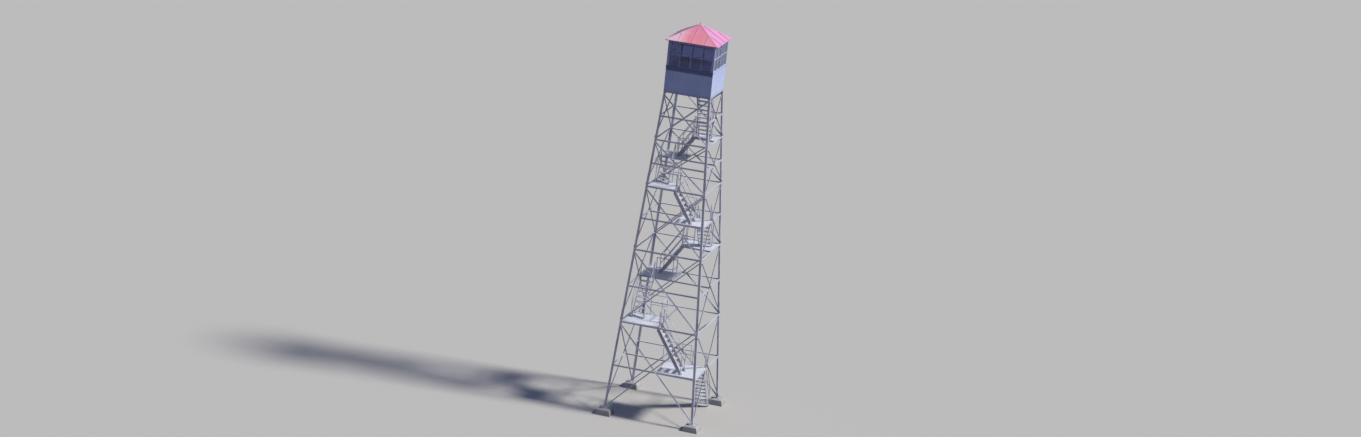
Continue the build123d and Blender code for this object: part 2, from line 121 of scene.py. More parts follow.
# %% Place the camera
def added(name, data):
    """A new object in the scene, for a camera, a mesh or a lamp."""
    thing = bpy.data.objects.new(name, data)
    bpy.context.scene.collection.objects.link(thing)
    return thing


photo_width = 1361
camera_distance = 124.7
camera_azimuth = 15.0
camera_elevation = math.radians(15.9)
camera_roll = math.radians(5.9)
focal_pixels = 2800
aim = Vector((0, 0, 9.0))
back = turned(0, -math.cos(camera_elevation), math.sin(camera_elevation), camera_azimuth)
camera_data = bpy.data.cameras.new("camera")
camera_data.sensor_width = 36
camera_data.lens = focal_pixels / photo_width * camera_data.sensor_width
camera_data.clip_end = 2000
camera = added("camera", camera_data)
camera.location = aim + back * camera_distance
camera.rotation_mode = "QUATERNION"
level_view = (-back).to_track_quat("-Z", "Y")
camera.rotation_quaternion = level_view @ Quaternion((0, 0, 1), camera_roll)
bpy.context.scene.camera = camera
print("lens in millimetres:", round(camera_data.lens, 1))

# %% [markdown]
# ## Finishes are built from nodes
#
# Every finish here is procedural: its colour, gloss and small relief come from noise and cell
# patterns, not from pictures. Two small classes keep that short. A recipe adds a node with each
# call and hands back its output, which the next call can take. A finish is a recipe for a
# material, and lays one colour over another. Lengths in the patterns are metres, because every
# piece sits at the origin at its real size.


# %% A helper that writes material recipes
def shade(red, green, blue):
    """A colour given as screen values from 0 to 255, as the linear colour that Blender mixes."""
    shares = [value / 255 for value in (red, green, blue)]
    return (*(share / 12.92 if share <= 0.04045 else ((share + 0.055) / 1.055) ** 2.4
              for share in shares), 1.0)


class Recipe:
    """A tree of nodes whose inputs take numbers, colours or the outputs of other nodes."""

    def __init__(self, tree):
        self.tree = tree

    def put(self, socket, value):
        if isinstance(value, bpy.types.NodeSocket):
            self.tree.links.new(value, socket)
        else:
            socket.default_value = value

    def node(self, kind, inputs, **settings):
        node = self.tree.nodes.new(kind)
        for name, value in settings.items():
            setattr(node, name, value)
        for name, value in inputs.items():
            self.put(node.inputs[name], value)
        return node

    def maths(self, operation, *values):
        inputs = dict(enumerate(values))
        return self.node("ShaderNodeMath", inputs, operation=operation).outputs[0]

    def mix(self, share, first, second):
        inputs = {0: share, 6: first, 7: second}
        return self.node("ShaderNodeMix", inputs, data_type="RGBA").outputs[2]


class Finish(Recipe):
    """A material with layers of colour, each of which covers a share of those before it."""

    def __init__(self, name):
        self.material = bpy.data.materials.new(name)
        self.material.use_nodes = True
        super().__init__(self.material.node_tree)
        self.shader = self.tree.nodes["Principled BSDF"]
        self.place = self.node("ShaderNodeTexCoord", {}).outputs["Object"]
        self.geometry = self.node("ShaderNodeNewGeometry", {}).outputs
        self.colour = None

    def noise(self, size, detail=3.0, stretch=(1, 1, 1), roughness=0.55):
        """Cloudy noise whose patches are about this many metres across."""
        stretched = self.node("ShaderNodeMapping", {"Vector": self.place, "Scale": stretch})
        inputs = {
            "Vector": stretched.outputs[0], "Scale": 1 / size,
            "Detail": detail, "Roughness": roughness,
        }
        return self.node("ShaderNodeTexNoise", inputs).outputs["Fac"]

    def cells(self, size):
        """A random value for each crystal-like cell of about this many metres."""
        cell = self.node("ShaderNodeTexVoronoi", {"Vector": self.place, "Scale": 1 / size})
        return self.node("ShaderNodeSeparateColor", {"Color": cell.outputs["Color"]}).outputs[0]

    def map(self, value, low, high, to_low=0.0, to_high=1.0):
        """A value moved from one range to another, and held inside it."""
        inputs = {
            "Value": value, "From Min": low, "From Max": high,
            "To Min": to_low, "To Max": to_high,
        }
        return self.node("ShaderNodeMapRange", inputs).outputs[0]

    def axis(self, vector, name):
        return self.node("ShaderNodeSeparateXYZ", {"Vector": vector}).outputs[name]

    def facing(self, name):
        """How far a face looks along an axis, from -1 to 1."""
        return self.axis(self.geometry["Normal"], name)

    def start(self, value, first, second, low=0.3, high=0.7):
        """The lowest colour, which goes from the first to the second as a value rises."""
        self.colour = self.mix(self.map(value, low, high), shade(*first), shade(*second))

    def cover(self, share, colour):
        self.colour = self.mix(share, self.colour, shade(*colour))

    def layer(self, value, low, high, strength, colour):
        """A colour that comes in, up to a strength, as a value goes from low to high."""
        self.cover(self.map(value, low, high, 0, strength), colour)

    def layered(self, share, first, second):
        """One shader over another, the second as strong as this share."""
        inputs = {0: share, 1: first.outputs[0], 2: second.outputs[0]}
        return self.node("ShaderNodeMixShader", inputs)

    def bump(self, height, distance, strength):
        inputs = {"Height": height, "Distance": distance, "Strength": strength}
        return self.node("ShaderNodeBump", inputs).outputs[0]

    def finish(self, **inputs):
        """Fill the shader's sockets, the colour with the layers, and hand back the material."""
        for name, value in {"Base_Color": self.colour, **inputs}.items():
            self.put(self.shader.inputs[name.replace("_", " ")], value)
        print("finish:", self.material.name, len(self.tree.nodes), "nodes")
        return self.material


# %% [markdown]
# ### Galvanised steel
#
# The lattice is hot-dipped in zinc. Fresh zinc shows a pattern of crystals; decades outdoors
# turn it into a dull, cool grey with paler dust on what faces up and darker rain streaks on
# what stands upright. The cells give the crystals, two noises give patches and streaks, and a
# random value for each bar sets one bar apart from the next. The dust also takes the shine
# off, so that a landing seen against the lamp doesn't glare.


# %% Galvanised steel
def galvanised(name, pale, dark, crystal=0.018):
    zinc = Finish(name)
    crystals = zinc.cells(crystal)
    patches = zinc.maths("MULTIPLY", zinc.noise(0.8, 4), 0.8)
    spread = zinc.maths("MULTIPLY_ADD", crystals, 0.2, patches)
    zinc.start(spread, dark, pale, 0.25, 0.75)
    zinc.layer(zinc.noise(0.05, 3, (1, 1, 0.07)), 0.52, 0.75, 0.38, (116, 115, 126))
    zinc.layer(zinc.geometry["Random Per Island"], 0, 1, 0.28, dark)
    facing_up = zinc.map(zinc.facing("Z"), 0.4, 1, 0, 0.45)
    dust = zinc.mix(zinc.map(zinc.noise(0.02, 3), 0.3, 0.7), shade(*pale), shade(216, 215, 216))
    zinc.colour = zinc.mix(facing_up, zinc.colour, dust)
    grain = zinc.maths("ADD", zinc.noise(0.004, 2), zinc.maths("MULTIPLY", crystals, 0.3))
    dulled = zinc.maths("MULTIPLY", facing_up, 0.8)
    return zinc.finish(
        Roughness=zinc.maths("ADD", zinc.map(spread, 0.2, 0.8, 0.62, 0.50), dulled),
        Metallic=0.35,
        Normal=zinc.bump(grain, 0.0006, 0.5),
    )


lattice_steel = galvanised("lattice_steel", (222, 225, 237), (174, 177, 193))
frame_steel = galvanised("frame_steel", (210, 212, 224), (158, 160, 175))
walkway_steel = galvanised("walkway_steel", (232, 235, 244), (192, 195, 209))
bolt_steel = galvanised("bolt_steel", (214, 216, 226), (182, 184, 196), crystal=0.006)
pipe_steel = galvanised("pipe_steel", (222, 225, 235), (176, 178, 192), crystal=0.012)

# %% [markdown]
# ### Sheet-metal walls and window frames
#
# The cab's walls are pressed sheet under a thin, cool grey paint. Real sheet is never quite
# flat, so a slow noise with a relief of a few millimetres makes its reflections wander. Rain
# runs down from the sill and leaves streaks, and dust gathers along the bottom edge, so the
# height above the base of the cab steers the dirt. On the south and north sides a dark band is
# painted at the sill and right under it: painted shade, for the shade under the sill.


# %% Cab paint
def cab_paint(name, fresh, worn, sill_shade_strength):
    paint = Finish(name)
    height = paint.axis(paint.place, "Z")
    chalk = paint.noise(0.6, 5)
    paint.start(chalk, fresh, worn)
    streaks = paint.map(paint.noise(0.045, 4, (1, 1, 0.05)), 0.5, 0.72)
    below_sill = paint.map(height, cab_base + 0.3, cab_base + 1.15, 0.1, 0.5)
    paint.cover(paint.maths("MULTIPLY", streaks, below_sill), (142, 146, 160))
    paint.cover(paint.map(height, cab_base, cab_base + 0.16, 0.4, 0), (128, 126, 132))
    # Painted shade: a dark blue band at the sill and just under it, on faces that look south or
    # north, stands in for the shade under the sill.
    sill_shade_foot = paint.map(height, cab_base + 0.98, cab_base + 1.03, 0, sill_shade_strength)
    sill_shade_top = paint.map(height, cab_base + 1.22, cab_base + 1.25, 1, 0)
    sunless = paint.map(paint.maths("ABSOLUTE", paint.facing("Y")), 0.5, 0.8)
    painted_sill_shade = paint.maths("MULTIPLY", paint.maths("MULTIPLY", sill_shade_foot, sill_shade_top), sunless)
    paint.cover(painted_sill_shade, (44, 60, 112))
    paint.layer(paint.noise(0.012, 4), 0.68, 0.72, 0.5, (120, 121, 130))
    paint.layer(paint.geometry["Random Per Island"], 0, 1, 0.12, worn)
    grain = paint.maths("MULTIPLY", paint.noise(0.006, 2), 0.05)
    sheet = paint.maths("MULTIPLY_ADD", paint.noise(0.35, 1), 3.0, grain)
    return paint.finish(
        Roughness=paint.map(chalk, 0.3, 0.7, 0.42, 0.58),
        Metallic=0.12,
        Normal=paint.bump(sheet, 0.004, 0.6),
    )


# The last argument sets how strong the painted shade under the sill is.
wall_paint = cab_paint("wall_paint", (200, 211, 246), (184, 195, 233), sill_shade_strength=0.9)
trim_paint = cab_paint("trim_paint", (184, 195, 231), (164, 174, 211), sill_shade_strength=0.8)

# %% [markdown]
# ### The faded roof
#
# The roof was painted red. The sun has bleached it to salmon and pink, nearly white towards
# its western end, and the slope that lies to the south has kept a warmer, redder patch in the
# middle of its eave. The faded and the fresh colour are mixed by a large noise and by the
# distance from that patch. A pink-magenta layer on what faces east is a painted reflection of
# the sky in the glossy paint, which makes the eastern slope the pinkest. The peak is duller
# than the rest. Last come small flakes where the paint has lifted and a few specks of rust.


# %% Roof paint
def roof_paint():
    paint = Finish("roof_paint")
    cloud = paint.noise(0.55, 5)
    fine = paint.noise(0.02, 4)
    paint.start(cloud, (246, 164, 182), (238, 150, 168), 0.35, 0.65)
    patch_centre = (-0.2, -1.0, cab_base + 2.5)
    offset = paint.node("ShaderNodeVectorMath", {0: paint.place, 1: patch_centre},
                        operation="DISTANCE").outputs["Value"]
    patch = paint.map(offset, 0.95, 0.15, 0, 0.9)
    paint.cover(paint.maths("MULTIPLY", paint.map(cloud, 0.3, 0.55), patch), (246, 138, 146))
    paint.layer(paint.axis(paint.place, "X"), -0.2, -0.65, 0.88, (244, 206, 217))
    paint.layer(paint.axis(paint.place, "Z"), cab_base + 2.7, cab_base + 2.95, 0.6,
                (216, 142, 170))
    # Painted reflection: faces that look east turn pink-magenta, for the sky mirrored in the glossy
    # paint.
    paint.layer(paint.facing("X"), 0.1, 0.45, 0.75, (211, 148, 202))
    paint.layer(fine, 0.6, 0.75, 0.2, (234, 192, 200))
    paint.layer(paint.noise(0.04, 3, (1, 1, 0.15)), 0.55, 0.75, 0.35, (206, 124, 138))
    paint.layer(paint.noise(0.07, 8, roughness=0.7), 0.63, 0.66, 0.55, (232, 200, 206))
    paint.layer(paint.noise(0.03, 6, roughness=0.7), 0.70, 0.73, 0.6, (150, 84, 72))
    waves = paint.maths("ADD", paint.noise(0.4, 1), paint.map(fine, 0, 1, 0, 0.05))
    return paint.finish(
        Roughness=paint.map(cloud, 0.3, 0.7, 0.48, 0.66),
        Normal=paint.bump(waves, 0.006, 0.5),
    )


roof_finish = roof_paint()

# %% [markdown]
# ### Window glass
#
# Old window glass is a little blue and dusty. A plain glass shader would keep the lamp out of
# the cab, because light that bends through glass is hard to trace, so for shadow rays the pane
# is swapped for a clear, tinted one. The dust is a thin film that scatters light both back and
# through, thicker in some places than in others. It makes a pane in the sun look pale, and it
# keeps a pane in the shade from looking like a hole.


# %% Window glass
def window_glass():
    glass = Finish("window_glass")
    clear = glass.node("ShaderNodeBsdfTransparent", {"Color": shade(190, 200, 214)})
    dust_colour = shade(208, 212, 238)
    back = glass.node("ShaderNodeBsdfDiffuse", {"Color": dust_colour})
    through = glass.node("ShaderNodeBsdfTranslucent", {"Color": dust_colour})
    film = glass.map(glass.noise(0.3, 5), 0.3, 0.7, 0.08, 0.18)
    dusty = glass.layered(film, glass.shader, glass.layered(0.6, back, through))
    path = glass.node("ShaderNodeLightPath", {})
    pane = glass.layered(path.outputs["Is Shadow Ray"], dusty, clear)
    glass.put(glass.tree.nodes["Material Output"].inputs["Surface"], pane.outputs[0])
    return glass.finish(Base_Color=shade(146, 156, 200), Roughness=0.03,
                        Transmission_Weight=1.0, IOR=1.45)


pane_glass = window_glass()

# %% [markdown]
# ### Boards, concrete and putty
#
# The cab's floor is of softwood boards, worn grey-brown, with grain that runs along x. The
# piers are cast concrete with small air holes. The panes are bedded in putty, which has gone
# hard and chalky.


# %% Boards, concrete and putty
def floor_wood():
    wood = Finish("floor_wood")
    grain = wood.noise(0.012, 5, (0.06, 1, 1))
    wood.start(grain, (122, 104, 88), (158, 140, 120))
    wood.layer(wood.noise(0.05, 3, (0.12, 1, 1)), 0.45, 0.7, 0.5, (104, 88, 76))
    wood.layer(wood.geometry["Random Per Island"], 0, 1, 0.5, (146, 138, 130))
    return wood.finish(Roughness=wood.map(grain, 0.3, 0.7, 0.6, 0.8),
                       Normal=wood.bump(grain, 0.001, 0.6))


def cast_concrete():
    concrete = Finish("cast_concrete")
    cloud = concrete.noise(0.3, 6)
    sand = concrete.noise(0.006, 3)
    holes = concrete.node("ShaderNodeTexVoronoi", {"Vector": concrete.place, "Scale": 28.0})
    pits = concrete.map(holes.outputs[0], 0.1, 0.2, 1, 0)
    concrete.start(cloud, (166, 165, 163), (190, 189, 187))
    concrete.layer(sand, 0.4, 0.7, 0.3, (146, 142, 136))
    splash = concrete.map(concrete.axis(concrete.place, "Z"), 0, 0.12, 0.5, 0)
    concrete.cover(splash, (140, 130, 120))
    concrete.cover(concrete.maths("MULTIPLY", pits, 0.5), (96, 93, 90))
    relief = concrete.maths("SUBTRACT", concrete.maths("MULTIPLY", sand, 0.4), pits)
    return concrete.finish(Roughness=concrete.map(cloud, 0.3, 0.7, 0.78, 0.92),
                           Normal=concrete.bump(relief, 0.003, 0.7))


def old_putty():
    putty = Finish("old_putty")
    crumbs = putty.noise(0.01, 4)
    putty.start(crumbs, (150, 154, 170), (182, 186, 198))
    return putty.finish(Roughness=0.8, Normal=putty.bump(crumbs, 0.001, 0.6))


board_wood = floor_wood()
pier_concrete = cast_concrete()
pane_putty = old_putty()

# %% [markdown]
# ### Which solid gets which finish
#
# A solid keeps its shape and only has its material slots filled anew. Of the starts that fit a
# solid's name, the longest decides.

# %% Give the solids their finishes
finish_starts = [
    (lattice_steel, "leg_ girts_ braces_"),
    (frame_steel, "leg_fittings shoe_plates cab_floor_beams roof_rafters"),
    (frame_steel, "landing_joists stair_stringers"),
    (pipe_steel, "stair_handrails landing_rails"),
    (walkway_steel, "landing_decks treads_"),
    (wall_paint, "wall_ hatch_coaming"),
    (trim_paint, "window_frame_ window_sills corner_posts head_rails"),
    (pane_glass, "glass_"),
    (board_wood, "cab_floor"),
    (roof_finish, "roof_"),
    (pier_concrete, "footings"),
]
finish_by_name = {start: finish for finish, starts in finish_starts for start in starts.split()}
for name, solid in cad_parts.items():
    matching = [start for start in finish_by_name if name.startswith(start)]
    chosen = finish_by_name[max(matching, key=len)]
    for slot_number in range(len(solid.data.materials)):
        solid.data.materials[slot_number] = chosen
print("finishes given to", len(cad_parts), "solids")

# %% [markdown]
# ## Small parts are made once and copied
#
# A bolt, a weld or a lug of tread plate is made once as a short list of points and faces, and
# then copied to all its places with numpy, which is much faster than making thousands of
# objects. Copies that belong together end up in one mesh.


# %% Shapes from profiles, and copies of them
def listed(points):
    return np.array([list(point) for point in points])


def band(count, first, second):
    """Four-sided faces between two rings of points, given by where each ring starts."""
    return [(first + side, first + (side + 1) % count,
             second + (side + 1) % count, second + side) for side in range(count)]


def lathe(profile, sides_round):
    """Rings of points round the z axis, from pairs of radius and height, closed at both ends."""
    angles = np.arange(sides_round) * 2 * math.pi / sides_round
    rings = [np.stack([radius * np.cos(angles), radius * np.sin(angles), height + 0 * angles], 1)
             for radius, height in profile]
    last = (len(profile) - 1) * sides_round
    faces = [tuple(reversed(range(sides_round)))]
    for start in range(0, last, sides_round):
        faces += band(sides_round, start, start + sides_round)
    faces.append(tuple(range(last, last + sides_round)))
    return np.concatenate(rings), faces


def prism(outline, length):
    """An outline in x and y, counted anticlockwise, drawn out along z."""
    count = len(outline)
    flat = np.array([(x, y, 0.0) for x, y in outline])
    ends = [tuple(reversed(range(count))), tuple(range(count, 2 * count))]
    return np.concatenate([flat, flat + (0, 0, length)]), ends + band(count, 0, count)


def joined(*shapes):
    """Several shapes as one list of points and faces."""
    points, faces, start = [], [], 0
    for shape_points, shape_faces in shapes:
        points.append(shape_points)
        faces += [tuple(start + corner for corner in face) for face in shape_faces]
        start += len(shape_points)
    return np.concatenate(points), faces


def copies(shape, places):
    """The shape at every place, each place being a matrix."""
    points, faces = shape
    grid = np.array([list(map(list, place)) for place in places])
    moved = np.einsum("nij,kj->nki", grid[:, :3, :3], points) + grid[:, None, :3, 3]
    count = len(points)
    everything = [tuple(number * count + corner for corner in face)
                  for number in range(len(places)) for face in faces]
    return moved.reshape(-1, 3), everything


def place_on(origin, x_axis, y_axis, z_axis):
    """A matrix for a copy at this point, turned to these three axes."""
    matrix = Matrix((x_axis, y_axis, z_axis)).transposed().to_4x4()
    matrix.translation = origin
    return matrix


def place(origin, up=(0, 0, 1), along=None):
    """A matrix for a copy at this point, its z axis along up and its x axis near along."""
    up = Vector(up).normalized()
    across = up.cross(up.orthogonal() if along is None else along).normalized()
    return place_on(origin, across.cross(up), across, up)


def spaced(first, last, spacing):
    """Evenly spaced values from first to last, about this far apart."""
    count = max(1, round((last - first) / spacing))
    return [first + (last - first) * number / count for number in range(count + 1)]


print("a hexagon head has", len(lathe([(0.01, 0), (0.01, 0.008)], 6)[1]), "faces")

# %% [markdown]
# Every finished piece becomes one object that rides on the tower. Faces that meet at a small
# angle are shaded as one curve and the rest stay crisp, which suits pressed and rolled metal.

# %% Turn shapes into pieces of the tower
piece_triangles = {}


def make_piece(name, shape, finish=bolt_steel, instead_of=(), smooth=35):
    points, faces = shape
    mesh = bpy.data.meshes.new(name)
    mesh.from_pydata(points.tolist(), [], faces)
    mesh.polygons.foreach_set("use_smooth", [True] * len(faces))
    mesh.set_sharp_from_angle(angle=math.radians(smooth))
    mesh.materials.append(finish)
    piece = added(name, mesh)
    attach(piece, "root")
    if instead_of:
        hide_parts(*instead_of)
    piece_triangles[name] = sum(len(face) - 2 for face in faces)
    print(name, "triangles:", piece_triangles[name])


# %% [markdown]
# ## The bolts of the lattice
#
# Nothing in this lattice is welded: two bolts hold each end of a diagonal, one holds the
# crossing, and splice tabs hold the level bars. A bolt is a washer and a hexagon head outside,
# and a washer, a nut and the end of the thread inside, at the thickness of what it grips.

# %% A bolt with its nut
bolt_radius = 0.0135
head_height = 0.010
washer_radius = 0.0175
washer_height = 0.003
thread_end = [(0.007, 0.012), (0.006, 0.019)]
lap_thickness = 0.006


def hexagon_head(radius, height, base):
    """A head with its corners turned off, as on a real bolt."""
    profile = [(radius, base), (radius, base + 0.8 * height), (0.86 * radius, base + height)]
    return lathe(profile, 6)


def washer(radius, thickness):
    return lathe([(radius, 0), (radius, thickness)], 12)


def bolt(grip, size=1.0):
    """A bolt whose head stands on z = 0 and whose nut is under the gripped plates."""
    head = joined(washer(washer_radius, washer_height),
                  hexagon_head(bolt_radius, head_height, washer_height))
    nut = joined(head, lathe(thread_end, 8))
    turned_over = nut[0] * size * (1, -1, -1) - (0, 0, grip)
    return joined((head[0] * size, head[1]), (turned_over, nut[1]))


lattice_bolt = bolt(leg_thickness + lap_thickness)
print("a bolt has", sum(len(face) - 2 for face in lattice_bolt[1]), "triangles")

# %% [markdown]
# The diagonals run between the legs in two layers: the ones that fall to the right lie on the
# outside of the legs and the ones that rise lie inside. The bolts are placed by distances
# along each bar, from the same sizes as the bars.

# %% Where the lattice is bolted
brace_offset = 0.095
brace_gauge = 0.058
girt_size = 0.064
girt_thickness = 0.008
brace_end_bolts = [0.022, 0.052]
tab_bolts = [-0.050, -0.020, 0.022, 0.050]


def brace_ends(upper, lower, rising):
    """The lower and upper end of a diagonal as (x, level) on its side."""
    top = upper - brace_offset
    bottom = lower + brace_offset
    way = 1 if rising else -1
    return ((-way * (half_width(bottom) - brace_gauge), bottom),
            (way * (half_width(top) - brace_gauge), top))


def side_place(turn, x, level, out=0.0, along=None):
    """The place of a bolt on a leaning side, with its head outwards."""
    return place(face_point(turn, x, level, out), face_normal(turn), along)


def diagonal_bolts(turn, upper, lower, rising):
    (x1, z1), (x2, z2) = brace_ends(upper, lower, rising)
    length = math.hypot(x2 - x1, z2 - z1)
    out = 0.0 if rising else lap_thickness
    for distance in brace_end_bolts:
        for share in (distance / length, 1 - distance / length):
            yield side_place(turn, x1 + share * (x2 - x1), z1 + share * (z2 - z1), out,
                             turned(x2 - x1, 0, z2 - z1, turn))


def girt_bolts(turn, level):
    leg_edge = half_width(level + girt_size / 2) - leg_size
    for way in (-1, 1):
        for distance in tab_bolts:
            yield side_place(turn, way * (leg_edge + distance), level, lap_thickness,
                             turned(1, 0, 0, turn))


def crossing_bolts(turn, upper, middle, lower):
    """Bolts where the diagonals cross, and where each of them passes the bar half way up."""
    low = lower + brace_offset
    high = upper - brace_offset
    reach_low = half_width(low) - brace_gauge
    reach_high = half_width(high) - brace_gauge
    crossing = low + (high - low) * reach_low / (reach_low + reach_high)
    yield side_place(turn, 0, crossing, lap_thickness)
    for rising, out in ((False, lap_thickness), (True, 0.0)):
        (x1, z1), (x2, z2) = brace_ends(upper, lower, rising)
        yield side_place(turn, x1 + (x2 - x1) * (middle - z1) / (z2 - z1), middle, out)


for side, turn in sides.items():
    spots = []
    for level in panel_levels[1:-1] + mid_levels:
        spots += girt_bolts(turn, level)
    for upper, middle, lower in zip(panel_levels, mid_levels, panel_levels[1:]):
        spots += diagonal_bolts(turn, upper, lower, True)
        spots += diagonal_bolts(turn, upper, lower, False)
        spots += crossing_bolts(turn, upper, middle, lower)
    make_piece(f"lattice_bolts_{side}", copies(lattice_bolt, spots))

# %% [markdown]
# ## Leg splices and cab seats
#
# No angle iron comes fifteen metres long. The legs are made of lengths that meet just above a
# bar, where a cover angle is bolted over the joint. At the top an angle is bolted inside each
# leg, and the cab sits on it. Here the bolts are set, those of the two arms of an angle beside
# each other, with room between their nuts.

# %% Bolts of the cover angles and the seats
splice_height = 0.42
splice_levels = [panel_levels[number] + splice_height for number in (2, 4)]
splice_thickness = 0.006
splice_rows = [-0.14, -0.08, -0.03, 0.03, 0.08, 0.14]
splice_gauge = 0.058
seat_thickness = 0.008
seat_bolt_drop = 0.032
pair_gauges = [0.040, 0.079]


def corner_bolts(turn, level, gauges, out):
    """Bolts through both arms of the leg left of a side, at distances from its corner."""
    for gauge in gauges:
        across = half_width(level) - gauge
        yield side_place(turn, -across, level, out)
        yield side_place(turn - 90, across, level, out)


splice_spots = []
seat_spots = []
for turn in sides.values():
    for level in splice_levels:
        for row in splice_rows:
            splice_spots += corner_bolts(turn, level + row, [splice_gauge], splice_thickness)
    seat_spots += corner_bolts(turn, cab_base - seat_bolt_drop, pair_gauges, 0.0)
splice_bolt = bolt(leg_thickness + splice_thickness, size=0.9)
pair_bolt = bolt(leg_thickness + seat_thickness, size=0.8)
make_piece("leg_bolts", joined(copies(splice_bolt, splice_spots), copies(pair_bolt, seat_spots)))

# %% [markdown]
# ## Shoes
#
# Each leg stands on a thick plate that four anchor bolts hold down on its concrete pier. The
# plate has an upright cleat inside the leg, with two bolts through each arm. A weld bead along
# the foot of the cleat holds it to the plate; it is a thin pipe, half sunk into the corner.

# %% Anchor bolts and the bolts of the cleats
shoe_half = 0.13
shoe_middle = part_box("shoe_plates")[1].x - shoe_half
anchor_inset = 0.028
anchor_washer = 0.004
cleat_bolt_rise = 0.031
anchor = joined(
    washer(0.026, anchor_washer),
    hexagon_head(0.020, 0.016, anchor_washer),
    lathe([(0.0105, 0.02), (0.0105, 0.044), (0.008, 0.047)], 12),
)
anchor_lines = [-shoe_middle + way * (shoe_half - anchor_inset) for way in (-1, 1)]
anchor_places = []
shoe_spots = []
for turn in sides.values():
    anchor_places += [place(turned(x, y, shoe_top, turn))
                      for x in anchor_lines for y in anchor_lines]
    shoe_spots += corner_bolts(turn, shoe_top + cleat_bolt_rise, pair_gauges, 0.0)
make_piece("shoe_bolts", joined(copies(anchor, anchor_places), copies(pair_bolt, shoe_spots)))

# %% [markdown]
# ## The stair
#
# The flights wind up inside the legs: each one runs along a side, from a landing over one
# corner down to a landing over the next. The list below follows the same rules as the solids:
# a landing at every bar and half bar, and a slope of 57 degrees, 65 in the top flight.

# %% The flights and landings as lists
stair_width = 0.560
stringer_thickness = 0.010
stair_side_gap = 0.130
top_stair_side_gap = 0.132
stair_slope = 57
top_stair_slope = 65
riser_aim = 0.208
tread_depth = 0.180
tread_height = 0.032
tread_setback = 0.040
landing_edge = 0.100
deck_inset = 0.030
deck_thickness = 0.006
hatch_start = -0.700
hatch_length = 0.950
rail_height = 0.900
rail_diameter = 0.034
rail_clearance = 0.034
landing_rail_height = 0.950
cab_floor_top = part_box("cab_floor")[1].z
landing_levels = [level for pair in zip(panel_levels[1:-1], mid_levels[1:]) for level in pair]
landing_turns = [180, 270, 0, 90] * 2


def deck_top(level):
    return level + girt_size / 2 + deck_thickness


class Flight:
    """A straight stair down along one side, measured from the middle of that side."""

    def __init__(self, turn, start, top, bottom, slope, outer):
        self.turn, self.start, self.top, self.bottom = turn, start, top, bottom
        self.grade = math.tan(math.radians(slope))
        self.end = start + (top - bottom) / self.grade
        self.outer = outer
        self.inner = outer - stair_width - 2 * stringer_thickness
        self.risers = round((top - bottom) / riser_aim)

    def line(self, x):
        """Height of the line through the middles of the treads."""
        return self.top - (x - self.start + tread_setback) * self.grade

    def point(self, x, distance, z):
        return turned(x, -distance, z, self.turn)

    def treads(self):
        """The middle of each tread's top as (x, z)."""
        for count in range(1, self.risers):
            drop = count * (self.top - self.bottom) / self.risers
            yield self.start - tread_setback + drop / self.grade, self.top - drop


flights = [Flight(90, hatch_start, cab_floor_top, deck_top(landing_levels[0]), top_stair_slope,
                  half_width(cab_base) - top_stair_side_gap)]
for number, (level, turn) in enumerate(zip(landing_levels, landing_turns)):
    foot = deck_top(landing_levels[number + 1]) if number + 1 < len(landing_levels) else 0.0
    flights.append(Flight(turn, -landing_edge, deck_top(level), foot, stair_slope,
                          half_width(level) - stair_side_gap))
print("flights:", len(flights), "treads:", sum(flight.risers - 1 for flight in flights))

# %% [markdown]
# ### Tread plate
#
# Treads and landings are of tread plate: steel rolled with rows of raised lens-shaped lugs,
# turned left and right in turn, that keep a wet boot from slipping. The lugs are real
# geometry here, six triangles each, so that they also survive in the exported meshes. Bolts
# along its two outer edges hold a landing down on the bars, and no lug stands under a bolt.

# %% Lugs on the landings and treads
lug_length = 0.030
lug_width = 0.010
lug_height = 0.002
lug_pitch = 0.042
lug_margin = 0.02
lug_sink = 0.0003


def lug_shape():
    """A lens with a short ridge."""
    end, half, ridge = lug_length / 2, lug_width / 2, lug_length / 5
    points = np.array([
        (-end, 0, 0), (0, -half, 0), (end, 0, 0), (0, half, 0),
        (-ridge, 0, lug_height), (ridge, 0, lug_height),
    ])
    faces = [(0, 1, 4), (1, 5, 4), (1, 2, 5), (2, 3, 5), (3, 4, 5), (3, 0, 4)]
    return points, faces


def lug_places(x_range, y_range, top, turn):
    """Rows of lugs over a rectangle of a landing or tread, seen from its side."""
    columns, rows = (int((high - low - 2 * lug_margin) / lug_pitch)
                     for low, high in (x_range, y_range))
    first_x = (sum(x_range) - columns * lug_pitch) / 2
    first_y = (sum(y_range) - rows * lug_pitch) / 2
    for column in range(columns + 1):
        for row in range(rows + 1):
            x, y = first_x + column * lug_pitch, first_y + row * lug_pitch
            spin = 45 if (column + row) % 2 else -45
            yield (Matrix.Translation(turned(x, y, top - lug_sink, turn))
                   @ Matrix.Rotation(math.radians(turn + spin), 4, "Z"))


def make_lugs(name, places):
    make_piece(name, copies(lug_shape(), places), walkway_steel, smooth=10)


deck_bolt_inset = 0.047
deck_bolt_spacing = 0.24
deck_bolt_leg_gap = 0.17
deck_bolt_edge_gap = 0.05
lug_clearance = 0.024
deck_bolt = bolt(deck_thickness + girt_thickness, size=0.8)
deck_lugs = []
deck_spots = []
for level, turn in zip(landing_levels, landing_turns):
    outer = half_width(level) - deck_inset
    span = (-outer, -landing_edge)
    bolt_line = -half_width(level) + deck_bolt_inset
    spots = [turned(*spot, deck_top(level), turn)
             for along in spaced(-outer + deck_bolt_leg_gap, -landing_edge - deck_bolt_edge_gap,
                                 deck_bolt_spacing)
             for spot in ((along, bolt_line), (bolt_line, along))]
    deck_spots += [place(spot) for spot in spots]
    deck_lugs += [lug for lug in lug_places(span, span, deck_top(level), turn)
                  if min((lug.translation - spot).length for spot in spots) > lug_clearance]
make_lugs("landing_lugs", deck_lugs)
make_piece("landing_bolts", copies(deck_bolt, deck_spots))
tread_lugs = []
